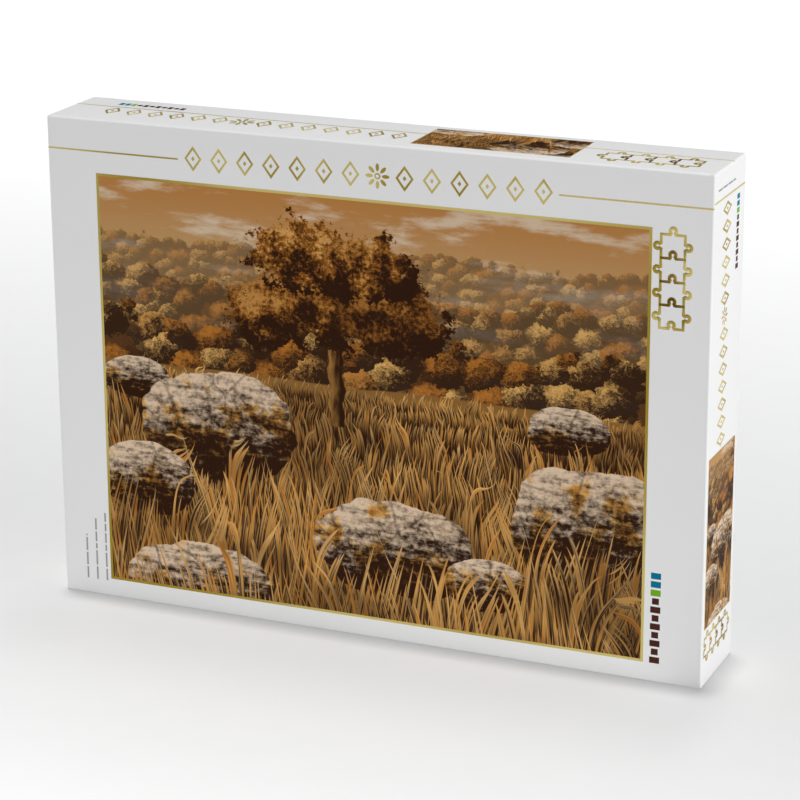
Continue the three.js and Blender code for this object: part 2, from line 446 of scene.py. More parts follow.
@group("Shader", AREA, LAYER)
def leaf_mass(g, place, centre, size):
    """One mass of a tree's crown: a ragged cloud of turned leaves, lit from the upper left."""
    x, y = within(g, place, centre, size)
    reach = g.math("SQRT", g.add(g.mul(x, x), g.mul(y, y)))
    clump = g.noise(place, 17.0, 2.0, 0.5)
    leaves = g.noise(place, 95.0, 3.0, 0.7)
    edge = g.sway(leaves, 0.9, g.sway(clump, 1.5, reach))
    side = g.fma(y, 0.45, g.fma(x, -0.25, 0.30))
    lit = g.smooth(g.sway(clump, 2.6, g.sway(leaves, 2.4, side)), 0.0, 1.0)
    return {"Mask": g.smooth(edge, 1.0, 0.93), "Tone": lit, "Hue": g.smooth(lit, 0.45, 1.3)}


@group("Shader", {"Place": "place", **numbers("Crest", "Crowns", "Seed")}, LAYER)
def woods(g, place, crest, density, seed):
    """A wooded slope in autumn: round crowns in mixed browns and golds, with dark gaps between them."""
    u, v, _ = g.split(place)
    even = g.xyz(g.mul(u, density), g.fma(g.mul(v, density), 1.1, seed))
    fray = g.vector("SUBTRACT", g.noise(even, 2.6, 4.0, 0.7, output=1), (0.5, 0.5, 0.5))
    spot = g.vector("ADD", even, g.vector("SCALE", fray, scale=0.9))
    cells = {"Vector": spot, "Scale": 1.0}
    crowns = g.node("ShaderNodeTexVoronoi", cells, voronoi_dimensions="2D").outputs
    x, y, _ = g.split(g.vector("SUBTRACT", spot, crowns["Position"]))
    leaves = g.noise(spot, 6.5, 5.0, 0.78)
    chance, second, _ = g.split(crowns["Color"])
    side = g.fma(y, 1.1, g.fma(x, -0.6, g.fma(chance, 0.3, 0.12)))
    lit = g.smooth(g.sway(leaves, 3.2, side), 0.0, 1.0)
    gap = g.smooth(g.sway(leaves, -0.4, crowns["Distance"]), 0.68, 0.42)
    bulge = g.math("DIVIDE", g.sub(0.35, crowns["Distance"]), density)
    ragged = g.sway(leaves, 0.012, g.add(bulge, g.sub(crest, v)))
    return {
        "Mask": g.smooth(ragged, -0.002, 0.003),
        "Tone": g.mul(lit, g.fma(gap, 0.85, 0.15)),
        "Hue": g.smooth(second, 0.25, 0.75),
    }


def crest_line(g, u, middle, swing, scale, seed):
    """Height of a hill's crest along u."""
    return g.sway(g.noise_1d(g.add(u, seed), scale, 5.0, 0.5), swing, middle)


def lay(g, below, layer, air=0.0, dim=1.0, warmth=1.0):
    """Lays a layer over those below it. air is how far haze hides it; dim and warmth scale tone and hue."""
    tone, hue = layer.outputs["Tone"], layer.outputs["Hue"]
    return g.mix(layer.outputs["Mask"], below, g.xyz(g.mul(tone, dim), g.mul(hue, warmth), air))


# Slopes: middle and swing of the crest, scale and seed of its waves, density of crowns, and haze before it
SLOPES = (
    (0.885, 0.10, 1.7, 3.1, 30.0, 0.42),
    (0.800, 0.12, 1.9, 8.4, 19.0, 0.18),
    (0.685, 0.10, 2.3, 12.9, 12.0, 0.02),
)
# Boulders after each row of grass: centre and half size, across and up
STONES = {
    2: ((1.17, 0.515, 0.10, 0.06), (0.08, 0.52, 0.09, 0.05)),
    5: ((0.30, 0.42, 0.20, 0.135),),
    7: ((1.22, 0.30, 0.19, 0.14), (0.10, 0.27, 0.13, 0.09)),
    9: ((0.74, 0.175, 0.20, 0.12), (0.97, 0.12, 0.10, 0.065)),
    10: ((0.24, 0.02, 0.19, 0.10),),
}
GRASS_ROWS = 12
OAK_AFTER_ROW = 3
FAR_FOOT, NEAR_FOOT = 0.525, -0.12
INKS = ("haze", "straw", "rust", "shade", "stone")


@group("Shader", {"Place": "place", **{ink.title(): "colour" for ink in INKS}}, {"Color": "colour"})
def landscape(g, place, haze, straw, rust, shade, stone):
    """The whole picture. Place runs from 0 to the aspect across, and from 0 to 1 up."""
    u, v, _ = g.split(place)
    picture = (1.0, 0.0, 1.0, 1.0)
    for middle, swing, scale, seed, crowns, air in SLOPES:
        crest = crest_line(g, u, middle, swing, scale, seed)
        slope = g.use(woods(), Place=place, Crest=crest, Crowns=crowns, Seed=seed)
        picture = lay(g, picture, slope, air)
    # Meadow: rows of dry grass, coarser towards the viewer, with boulders between the rows
    meadow_top = crest_line(g, u, FAR_FOOT + 0.035, 0.03, 2.0, 5.0)
    picture = g.mix(g.smooth(g.sub(meadow_top, v), -0.002, 0.003), picture, (0.4, 0.5, 0.0, 1.0))
    cloud = g.noise(g.xyz(g.mul(u, 1.2), g.mul(v, 3.0)), 2.2, 2.0)
    sunlit = g.fma(g.smooth(cloud, 0.60, 0.42), 0.55, 0.6)
    for row in range(GRASS_ROWS):
        near = row / (GRASS_ROWS - 1)
        near_by = near**1.3
        grass = g.use(
            grass_row(),
            Place=place,
            Foot=FAR_FOOT + (NEAR_FOOT - FAR_FOOT) * near_by,
            Height=0.035 + 0.20 * near_by,
            Blades=260.0 / (1.0 + 1.5 * near),
            Lean=(-1) ** row * 0.25,
            Seed=3.7 * row + 1.3,
        )
        picture = lay(g, picture, grass, dim=sunlit)
        if row == OAK_AFTER_ROW:
            picture = add_oak(g, place, u, v, picture)
        for across, up, wide, tall in STONES.get(row, ()):
            rock = g.use(boulder(), Place=place, Centre=(across, up, 0), Size=(wide, tall, 1))
            picture = lay(g, picture, rock)
    # Colours: the hue picks the lit colour, the tone darkens it, and air fades it into the sky
    tone, hue, air = g.split(picture)
    lit = g.mix(g.sub(hue, 1.0), g.mix(hue, rust, straw), stone)
    body = g.mix(tone, g.mix(0.98, rust, shade), lit)
    veil = g.noise(g.xyz(g.mul(u, 2.0), g.mul(v, 8.0)), 1.6, 6.0, 0.62)
    clear = g.mix(g.smooth(v, 0.80, 1.02), haze, g.mix(0.7, haze, rust))
    sky = g.mix(g.smooth(veil, 0.50, 0.64), clear, g.mix(0.35, haze, (1.0, 0.92, 0.8, 1)))
    return {"Color": g.mix(air, body, sky)}


# Masses of the oak's crown: offset from its middle, half size, tone and warmth
CROWN = (
    (0.00, 0.00, 0.22, 0.13, 0.75, 0.50),
    (-0.15, -0.05, 0.13, 0.085, 0.85, 0.65),
    (0.15, -0.045, 0.14, 0.09, 0.65, 0.35),
    (-0.07, 0.085, 0.14, 0.09, 1.0, 1.0),
    (0.08, 0.07, 0.12, 0.08, 0.9, 0.75),
)


def add_oak(g, place, u, v, picture):
    """A lone oak left of the middle: a crooked trunk and a broad crown of overlapping leaf masses."""
    middle, foot, top = 0.60, 0.46, 0.80
    wobble = g.sway(g.noise_1d(v, 14.0), 0.03, middle)
    off = g.math("ABSOLUTE", g.sub(u, wobble))
    standing = g.mul(g.smooth(v, foot - 0.002, foot + 0.002), g.smooth(v, top, top - 0.02))
    trunk = g.mul(g.smooth(off, 0.020, 0.016), standing)
    furrows = g.noise(g.xyz(g.mul(u, 90.0), g.mul(v, 16.0)), 1.0, 3.0)
    bark = g.smooth(g.sway(furrows, 0.06, g.sub(u, wobble)), 0.012, -0.03)
    picture = g.mix(trunk, picture, g.xyz(g.mul(bark, 0.6), 0.5, 0.0))
    for right, rise, wide, tall, dim, warmth in CROWN:
        centre = (middle + right, top - 0.03 + rise, 0.0)
        leaves = g.use(leaf_mass(), Place=place, Centre=centre, Size=(wide, tall, 1.0))
        picture = lay(g, picture, leaves, dim=dim, warmth=warmth)
    return picture


def landscape_at(g, place):
    """The picture's colour at a place in it, with the print's colours."""
    inks = {ink.title(): tuple(getattr(settings().prints, ink)) for ink in INKS}
    return g.use(landscape(), Place=place, **inks).outputs["Color"]


def finish_print(g, shader, place, colour):
    """Ink on coated paper: the colour with a slight gloss and the paper's grain."""
    paper = g.use(coated_paper(), Place=place, Mottle=0.02).outputs
    values = {
        "Base Color": colour,
        "Roughness": g.add(paper["Gloss"], 0.5),
        "Specular IOR Level": 0.05,
        "Normal": g.bump(paper["Grain"], 0.04, 0.08 * MM),
    }
    g.fill(shader, values)


def picture_material(name, node, axes, part, flipped=False):
    """The picture on one CAD panel. axes run across and up, and part is (left, bottom, right, top)."""
    made, g, shader, place = new_material(name)
    sockets = g.split(place)
    low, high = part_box(node)
    parts = []
    for axis, begin, end in zip(axes, part[:2], part[2:]):
        index = "XYZ".index(axis)
        if flipped:
            begin, end = end, begin
        span = {"From Min": low[index], "From Max": high[index], "To Min": begin, "To Max": end}
        values = {"Value": sockets[index], **span}
        parts.append(g.node("ShaderNodeMapRange", values, clamp=False).outputs[0])
    finish_print(g, shader, place, landscape_at(g, g.xyz(*parts)))
    return made


def foil_material(name, drift_scale):
    """Gold printing foil: tones that shift slowly between olive and straw gold."""
    made, g, shader, place = new_material(name)
    foil = settings().foil
    drift = g.noise(place, drift_scale, 0.0)
    fine = g.noise(place, 600.0, 2.0)
    tone = g.sway(fine, 0.15, g.smooth(drift, 0.30, 0.66))
    values = {
        "Base Color": g.mix(tone, tuple(foil.dark), tuple(foil.light)),
        "Metallic": 0.2,
        "Specular IOR Level": 0.15,
        "Roughness": g.fma(fine, 0.15, 0.36),
    }
    g.fill(shader, values)
    return made


def ink_material(name, *rgb):
    """Plain printed ink with the paper's grain in it."""
    made, g, shader, place = new_material(name)
    paper = g.use(coated_paper(), Place=place, Mottle=0.1)
    finish_print(g, shader, place, g.dimmed((*rgb, 1), paper.outputs["Tone"]))
    return made


# Mesh helpers

def new_object(name, data):
    made = bpy.data.objects.new(name, data)
    bpy.context.scene.collection.objects.link(made)
    return made


def mesh_piece(name, corners, faces, *materials, edges=()):
    """A piece from its corners, which are flat where they have no height, and its faces or edges."""
    mesh = bpy.data.meshes.new(name)
    mesh.from_pydata([(*corner, 0)[:3] for corner in corners], edges, faces)
    for material in materials:
        mesh.materials.append(material)
    mesh.update()
    return new_object(name, mesh)


def quads(corners):
    """Faces that take the corners four at a time."""
    return [range(start, start + 4) for start in range(0, len(corners), 4)]


def patches(name, rectangles, *materials):
    """A flat piece of separate rectangles, each by its left, lower, right and upper side."""
    corners = []
    for left, lower, right, upper in rectangles:
        corners += [(left, lower), (right, lower), (right, upper), (left, upper)]
    return mesh_piece(name, corners, quads(corners), *materials)


def soften(piece, angle=35.0):
    """Smooth shading, with a sharp edge wherever two faces meet at more than the angle."""
    mesh = piece.data
    mesh.shade_smooth()
    shape = bmesh.new()
    shape.from_mesh(mesh)
    for edge in shape.edges:
        if len(edge.link_faces) == 2:
            edge.smooth = edge.calc_face_angle(0.0) < math.radians(angle)
    shape.to_mesh(mesh)
    shape.free()


def face_outwards(piece, weld=True):
    shape = bmesh.new()
    shape.from_mesh(piece.data)
    if weld:
        bmesh.ops.remove_doubles(shape, verts=shape.verts, dist=1e-7)
    bmesh.ops.recalc_face_normals(shape, faces=shape.faces)
    shape.to_mesh(piece.data)
    shape.free()


def rounded_outline(half_x, half_z, radius, steps):
    """Corners of a rounded rectangle about the origin, anticlockwise from the lower right."""
    points = []
    for turn, (sx, sz) in enumerate(((1, -1), (1, 1), (-1, 1), (-1, -1))):
        for step in range(steps + 1):
            angle = math.radians(-90 + 90 * turn + 90 * step / steps)
            x = sx * (half_x - radius) + radius * math.cos(angle)
            points.append((x, sz * (half_z - radius) + radius * math.sin(angle)))
    return points


def arc(centre_y, centre_in, radius, start, end, steps):
    """Points (y, inset) on an arc. An angle of 0 points out of the open side, and 90 outwards."""
    points = []
    for step in range(steps + 1):
        angle = math.radians(start + (end - start) * step / steps)
        points.append((centre_y + radius * math.cos(angle), centre_in - radius * math.sin(angle)))
    return points


def lofted_box(name, low, high, section, corner_radius, steps, paper):
    """A box shell open at one side: rounded outlines strung along section, a list of (y, inset).

    Its first and last outlines are closed by flat panels. The last wall and panel are bare board."""
    centre, half = (low + high) / 2, (high - low) / 2
    corners, faces = [], []
    least_radius = 0.15 * MM
    for y, inset in section:
        radius = max(corner_radius - inset, least_radius)
        for x, z in rounded_outline(half.x - inset, half.z - inset, radius, steps):
            corners.append((centre.x + x, y, centre.z + z))
    count = 4 * (steps + 1)
    last = (len(section) - 1) * count
    for a in range(0, last, count):
        b = a + count
        for i in range(count):
            j = (i + 1) % count
            faces.append((a + i, a + j, b + j, b + i))
    faces += [range(count), range(last, last + count)]
    piece = mesh_piece(name, corners, faces, paper, board_material())
    inner = [0] * (len(faces) - count - 2) + [1] * count + [0, 1]
    piece.data.polygons.foreach_set("material_index", inner)
    face_outwards(piece)
    soften(piece)
    return piece


def place_piece(piece, body, slot, *replaced):
    """Last step for every piece: its body and the CAD nodes that it stands for. Its slot argument is not
    used.
    """
    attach(piece, body)
    if replaced:
        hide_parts(*replaced)


def paint(piece, material):
    piece.data.materials.clear()
    piece.data.materials.append(material)


def paint_nodes(start, material):
    """Gives the CAD nodes whose names begin with start their material."""
    for name, node in frame["nodes"].items():
        if name.startswith(start):
            paint(node, material)


def apply_modifiers(piece):
    """The piece as its modifiers leave it, as a plain mesh."""
    view = bpy.context.evaluated_depsgraph_get()
    shaped = piece.evaluated_get(view)
    mesh = bpy.data.meshes.new_from_object(shaped, preserve_all_data_layers=True, depsgraph=view)
    mesh.name = piece.name
    piece.modifiers.clear()
    piece.data = mesh


def thicken(piece, thickness=0.03 * MM, offset=1.0):
    """Gives sheets a slight thickness: outwards with an offset of 1, to both sides with 0."""
    solidify = piece.modifiers.new("thickness", "SOLIDIFY")
    solidify.thickness = thickness
    solidify.offset = offset
    apply_modifiers(piece)


def run_tree(piece, tree, **values):
    """Runs a Geometry Nodes tree on a piece and keeps the result as its mesh."""
    modifier = piece.modifiers.new(tree.name, "NODES")
    modifier.node_group = tree
    for item in tree.interface.items_tree:
        key = item.name.replace(" ", "_").lower()
        if item.in_out == "INPUT" and key in values:
            modifier[item.identifier] = values[key]
    apply_modifiers(piece)


# Printed faces of the lid. Each matrix takes (along, up, out) of a face to the shared frame.

def face_matrix(along, up, x, y, z):
    turn = Matrix((along, up, along.cross(up))).transposed().to_4x4()
    return Matrix.Translation((x, y, z)) @ turn


X, Y, Z = Vector((1, 0, 0)), Vector((0, 1, 0)), Vector((0, 0, 1))
SINK = 0.05 * MM
FACES = {
    "front": face_matrix(X, Z, 0, FRONT_Y + SINK, 0),
    "right": face_matrix(Y, Z, HALF_WIDTH - SINK, FRONT_Y, 0),
    "left": face_matrix(-Y, Z, SINK - HALF_WIDTH, BACK_Y, 0),
    "top": face_matrix(X, Y, 0, FRONT_Y, BOX_HEIGHT - SINK),
    "bottom": face_matrix(X, -Y, 0, BACK_Y, SINK),
}


def face_place(face, place):
    """A place along and up a face, from millimetres that count depths from the front."""
    along, up = (value * MM for value in place)
    if face == "left":
        along = BOX_DEPTH - along
    if face == "bottom":
        up = BOX_DEPTH - up
    return along, up


def on_plane(place, degrees):
    return Matrix.Translation((*place, 0)) @ Matrix.Rotation(math.radians(degrees), 4, "Z")


def put_print(piece, face, slot, place=(0, 0), degrees=0):
    """Moves a flat piece from its own plane to a place on a printed face of the lid, which it rides.

    Marks that touch stay unwelded, so that each is a closed solid of its own."""
    piece.data.transform(FACES[face] @ on_plane(place, degrees))
    face_outwards(piece, weld=False)
    place_piece(piece, "lid", slot)


# Places of the ornaments, in millimetres along and up each face. The depth on a side counts from the front.
# Friezes: place, turn, pitch, width and height of a lozenge, and stroke
FRIEZES = {
    "front": ((-0.9, 255.4), 0, 15.1, 10.0, 13.6, 1.05),
    "top": ((-74.7, 23.0), 180, 12.9, 9.2, 15.0, 1.15),
    "bottom": ((-74.7, 23.0), 0, 12.9, 9.2, 15.0, 1.15),
    "right": ((21.8, 190.0), 90, 9.3, 7.6, 14.6, 1.2),
    "left": ((21.8, 190.0), 90, 9.3, 7.6, 14.6, 1.2),
}
# Rows of piece outlines: place, turn, pitch, height and stroke
PIECE_ROWS = {
    "front": ((165.6, 217.3), 90, 12.05, 12.4, 1.8),
    "top": ((146.2, 19.5), 180, 12.7, 12.4, 1.8),
    "bottom": ((146.2, 19.5), 0, 12.7, 12.4, 1.8),
    "right": ((25.0, 21.5), 0, 10.2, 10.0, 1.5),
    "left": ((25.0, 21.5), 0, 10.2, 10.0, 1.5),
}
# Strips of colour patches: place, turn, length and height
STRIPS = {
    "front": ((160.8, 10.6), 90, 50.0, 6.2),
    "top": ((-123.6, 40.0), 180, 39.7, 5.4),
    "right": ((40.5, 214.8), 90, 38.9, 5.0),
    "bottom": ((-163.3, 40.0), 0, 39.7, 5.4),
    "left": ((40.5, 214.8), 90, 38.9, 5.0),
}
# Broken grey lines: place, turn and length
LINES = {
    "front": (((-172.0, 9.0), 90, 26.0), ((-166.0, 9.0), 90, 36.0), ((-160.0, 9.0), 90, 40.0)),
    "right": (((5.6, 262.4), 0, 29.0),),
    "left": (((34.6, 262.4), 0, 29.0),),
}


# Foil ornaments

KNOB_RADIUS = 0.125
KNOB_RISE = 0.155
KNOB_REACH = KNOB_RADIUS + KNOB_RISE


def piece_edge(start, end, knob, steps):
    """One side of a jigsaw piece, with a knob outwards (+1), a socket (-1) or none (0)."""
    along = end - start
    out = Vector((along.y, -along.x)) * knob
    if knob == 0:
        return [start]
    points = [start, start + along * (0.5 - KNOB_RADIUS)]
    for step in range(steps + 1):
        angle = math.radians(225 - 270 * step / steps)
        aside = 0.5 + KNOB_RADIUS * math.cos(angle)
        points.append(start + along * aside + out * (KNOB_RISE + KNOB_RADIUS * math.sin(angle)))
    points.append(start + along * (0.5 + KNOB_RADIUS))
    return points


def piece_outline(width, height, knobs, steps=8):
    """Outline of a jigsaw piece about the origin. knobs are for its lower, right, upper and left side."""
    w, h = width / 2, height / 2
    corners = [Vector(corner) for corner in ((-w, -h), (w, -h), (w, h), (-w, h))]
    points = []
    for side in range(4):
        points += piece_edge(corners[side], corners[(side + 1) % 4], knobs[side], steps)
    return points


def centred_line(g, count, pitch):
    start = g.mul(g.mul(g.sub(count, 1.0), pitch), -0.5)
    values = {"Count": count, "Start Location": g.xyz(start, 0.0), "Offset": g.xyz(pitch, 0.0)}
    return g.geo("MeshLine", values)


FRIEZE = {
    **SHAPE,
    "Cells": "count",
    "Rosette cell": "count",
    **numbers("Pitch", "Width", "Height", "Stroke", "Relief"),
    "Foil": "material",
}


@group("Geometry", FRIEZE, SHAPE)
def foil_frieze(g, _, cells, rosette_cell, pitch, width, height, stroke, relief, foil):
    """A row of lozenges, each with a small one inside it, and a rosette in one cell."""

    def lozenge(shrink, share=1.0):
        wide = g.mul(g.fma(stroke, -shrink, width), share)
        half = g.mul(g.fma(stroke, -shrink * 1.5, height), 0.5 * share)
        sizes = {"Width": wide, "Bottom Height": half, "Top Height": half}
        return g.geo("CurvePrimitiveQuadrilateral", sizes, mode="KITE")

    def circle(points, radius):
        return g.geo("CurvePrimitiveCircle", {"Resolution": points, "Radius": radius})

    def raised(*curves):
        flat = g.geo("FillCurve", {"Curve": g.join(*curves)})
        lift = g.geo("ExtrudeMesh", {"Mesh": flat, "Offset Scale": relief, "Individual": False})
        return g.join(lift, g.geo("FlipFaces", {"Mesh": flat}))

    cell = raised(lozenge(0.0), lozenge(2.6), lozenge(0.0, 0.2))
    # Rosette: eight petals round an open centre, no wider than the free room in its cell
    room = g.fma(width, -0.5, pitch)
    petal = g.math("MINIMUM", g.mul(height, 0.30), g.mul(room, 0.56))
    shift, squash = g.xyz(g.mul(petal, 1.12), 0.0), g.xyz(g.mul(petal, 0.52), g.mul(petal, 0.24), 1.0)
    blade = g.geo("Transform", {"Geometry": circle(14, 1.0), "Translation": shift, "Scale": squash})
    wheel = g.geo("MeshCircle", {"Vertices": 8, "Radius": relief})
    spin = g.xyz(0.0, 0.0, g.mul(g.geo("InputIndex"), math.tau / 8))
    petals = g.geo("InstanceOnPoints", {"Points": wheel, "Instance": raised(blade), "Rotation": spin})
    eye = raised(circle(24, g.mul(petal, 0.42)), circle(24, g.mul(petal, 0.22)))
    # The row
    chosen = g.node(
        "FunctionNodeCompare", {2: g.geo("InputIndex"), 3: rosette_cell}, data_type="INT", operation="EQUAL"
    )
    both = [g.geo("GeometryToInstance", {0: shape}) for shape in (g.join(petals, eye), cell)]
    values = {
        "Points": centred_line(g, cells, pitch),
        "Instance": g.join(*both),
        "Pick Instance": True,
        "Instance Index": chosen.outputs[0],
    }
    solid = g.geo("RealizeInstances", {"Geometry": g.geo("InstanceOnPoints", values)})
    welded = g.geo("MergeByDistance", {"Geometry": solid, "Distance": 1e-7})
    return {"Geometry": g.geo("SetMaterial", {"Geometry": welded, "Material": foil})}


ROW = {**SHAPE, "Count": "count", **numbers("Pitch", "Stroke", "Relief"), "Foil": "material"}


@group("Geometry", ROW, SHAPE)
def outline_row(g, outline, count, pitch, stroke, relief, foil):
    """A row of one outline, each drawn as a raised band along it."""
    path = g.geo("MeshToCurve", {"Mesh": outline})
    sizes = {"Width": stroke, "Height": g.mul(relief, 2.0)}
    band = g.geo("CurvePrimitiveQuadrilateral", sizes)
    drawn = g.geo("CurveToMesh", {"Curve": path, "Profile Curve": band})
    row = g.geo("InstanceOnPoints", {"Points": centred_line(g, count, pitch), "Instance": drawn})
    solid = g.geo("RealizeInstances", {"Geometry": row})
    return {"Geometry": g.geo("SetMaterial", {"Geometry": solid, "Material": foil})}


# Operators

class PUZZLEBOX_OT_stage(bpy.types.Operator):
    """Adds the floor, the soft lights and the camera at the photo's angle"""

    bl_idname = "puzzle_box.add_stage"
    bl_label = "Stage"

    def execute(self, context):
        context.scene.view_settings.view_transform = "Standard"
        self.add_camera(context.scene)
        self.add_world(context.scene)
        self.add_floor()
        self.add_lights()
        return DONE

    def add_camera(self, scene):
        stage = settings().stage
        camera = new_object("camera", bpy.data.cameras.new("camera"))
        camera.data.lens = stage.lens
        camera.data.sensor_width = 36.0
        camera.data.clip_end = 50.0
        turn = Matrix()
        for angle, axis in ((stage.yaw, "Z"), (stage.pitch, "X"), (stage.roll, "Y"), (math.pi / 2, "X")):
            turn = turn @ Matrix.Rotation(angle, 4, axis)
        camera.matrix_world = Matrix.Translation(stage.camera) @ turn
        scene.camera = camera

    def add_world(self, scene):
        world = bpy.data.worlds.new("studio")
        world.use_nodes = True
        sky = world.node_tree.nodes["Background"]
        sky.inputs["Color"].default_value = (1, 1, 1, 1)
        sky.inputs["Strength"].default_value = 0.13
        scene.world = world

    def add_floor(self):
        reach = 12.0
        made, g, shader, place = new_material("studio_floor")
        # The sweep is greyest just behind the box, and pales towards the viewer and far off
        x, y, _ = g.split(place)
        greyest = 0.085
        behind = g.math("MAXIMUM", g.sub(y, greyest), 0.0)
        before = g.math("MAXIMUM", g.sub(greyest, y), 0.0)
        rise = g.mul(before, g.fma(before, 1.25, 0.2))
        glow = g.math("MINIMUM", g.add(g.fma(behind, 0.34, rise), 0.22), 0.55)
        glow = g.mul(glow, g.fma(g.smooth(y, -0.33, -0.6), -0.6, 1.0))
        # A broad soft shadow is painted along the front's foot by dimming the floor's glow
        across = g.mul(g.smooth(x, -0.23, -0.17), g.smooth(x, 0.22, 0.185))
        along = g.mul(g.smooth(y, -0.15, -0.06), g.smooth(y, 0.0, -0.026))
        glow = g.fma(g.mul(along, across), -0.07, glow)
        # The floor before the box bounces more light on to it than it shows, most on the right
        bounced = g.mul(g.smooth(y, -0.36, -0.28), g.smooth(y, -0.026, -0.028))
        foot = g.fma(g.smooth(y, -0.07, -0.04), 0.09, 0.22)
        bounced = g.mul(g.mul(bounced, g.fma(x, 0.45, foot)), g.smooth(x, 0.19, 0.16))
        unseen = g.sub(1.0, g.node("ShaderNodeLightPath").outputs["Is Camera Ray"])
        glow = g.fma(bounced, unseen, glow)
        values = {
            "Base Color": g.mix(g.noise(place, 40.0), (0.567, 0.57, 0.573, 1), (0.587, 0.59, 0.593, 1)),
            "Emission Color": g.xyz(glow, glow, glow),
            "Emission Strength": 1.0,
            "Roughness": 0.9,
            "Specular IOR Level": 0.0,
        }
        g.fill(shader, values)
        floor = patches("floor", [(-reach, -reach, reach, reach)], made)

    def add_lights(self):
        """Soft fills without shadows, and one high narrow light whose shadow hugs the base."""
        suns = (
            ("right_fill", (1.0, 0.0, 0.0), 1.66, 20.0, False),
            ("front_fill", (0.0, -1.0, 0.0), 0.49, 20.0, False),
            ("left_fill", (-1.0, 0.0, 0.0), 0.45, 20.0, False),
            ("top_light", (-0.02, 0.024, 1.0), 2.3, 4.2, True),
        )
        for name, towards, strength, angle, casts in suns:
            lamp = new_object(name, bpy.data.lights.new(name, "SUN"))
            lamp.data.energy = strength
            lamp.data.angle = math.radians(angle)
            lamp.data.use_shadow = casts
            lamp.rotation_euler = Vector(towards).to_track_quat("Z", "Y").to_euler()


class PUZZLEBOX_OT_lid(bpy.types.Operator):
    """Adds the lid's wrapped shell, open at the back, in place of its plain solid"""

    bl_idname = "puzzle_box.add_lid"
    bl_label = "Lid wrap"

    def execute(self, context):
        wrap = settings().wrap
        low = LID_LOW + Vector((2 * SINK, SINK, SINK))
        high = LID_HIGH - Vector((2 * SINK, 0, SINK))
        radius, board = wrap.edge_radius, wrap.lid_board
        rim_out, rim_in = 1.3 * MM, 0.5 * MM
        section = arc(low.y + radius, radius, radius, 180, 90, 8)
        section += arc(high.y - rim_out, rim_out, rim_out, 90, 0, 6)
        section += [(high.y, board - rim_in)]
        section += arc(high.y - rim_in, board - rim_in, rim_in, 0, -90, 4)[1:]
        section += [(low.y + board, board)]
        paper = paper_material("lid_paper", wrap.paper, low, high)
        shell = lofted_box("lid_wrap", low, high, section, radius, 8, paper)
        place_piece(shell, "lid", "wrap", "lid_shell")
        self.add_flaps(low, high, radius, rim_out, paper)
        paint_nodes("lid_hem", paper_material("lid_hem_paper", wrap.paper, low, high, wear=0.0))
        return DONE

    def add_flaps(self, low, high, radius, rim, paper):
        """The end walls' flaps of wrap: glued down last, so their long edges show as faint steps."""
        inset, step = 1.4 * MM, 0.045 * MM
        front_steps, rim_steps = 8, 6
        path = []
        for index in range(front_steps + 1):
            angle = math.radians(180 - 90 * index / front_steps)
            bend = radius + step * index / front_steps
            path.append((low.y + radius + bend * math.cos(angle), radius - bend * math.sin(angle)))
        for index in range(rim_steps + 1):
            angle = math.radians(90 - 90 * index / rim_steps)
            bend = rim + step * (1 - index / rim_steps)
            path.append((high.y - rim + rim * math.cos(angle), rim - bend * math.sin(angle)))
        bottom, top, sunk = low.z + inset, high.z - inset, 1.5 * step
        rows = ((bottom, sunk), (bottom, 0.0), (top, 0.0), (top, sunk))
        width = len(rows)
        last = (len(path) - 1) * width
        for side, edge, sign in (("right", high.x, 1), ("left", low.x, -1)):
            corners = [(edge - sign * (depth + sink), y, z) for y, depth in path for z, sink in rows]
            faces = [range(width), range(last, last + width)]
            for i in range(0, last, width):
                for j in range(width):
                    a, b = i + j, i + (j + 1) % width
                    faces.append((a, b, b + width, a + width))
            flap = mesh_piece(f"lid_flap_{side}", corners, faces, paper)
            face_outwards(flap, weld=False)
            soften(flap)
            place_piece(flap, "lid", "wrap")


class PUZZLEBOX_OT_pictures(bpy.types.Operator):
    """Prints the picture on the lid's front and, cropped, on its four walls"""

    bl_idname = "puzzle_box.print_pictures"
    bl_label = "Pictures"

    def execute(self, context):
        # Each wall shows a band of the picture with the panel's own proportions
        top = (0.05, 0.20, 0.85, 0.54)
        end = (0.02, 0.06, 0.43, 0.912)
        prints = {
            "picture_front": ("XZ", (0, 0, PICTURE_ASPECT, 1), False),
            "picture_top": ("XY", top, True),
            "picture_bottom": ("XY", top, False),
            "picture_right": ("YZ", end, False),
            "picture_left": ("YZ", end, False),
        }
        for node, (axes, part, flipped) in prints.items():
            paint(frame["nodes"][node], picture_material(f"{node}_ink", node, axes, part, flipped))
        return DONE


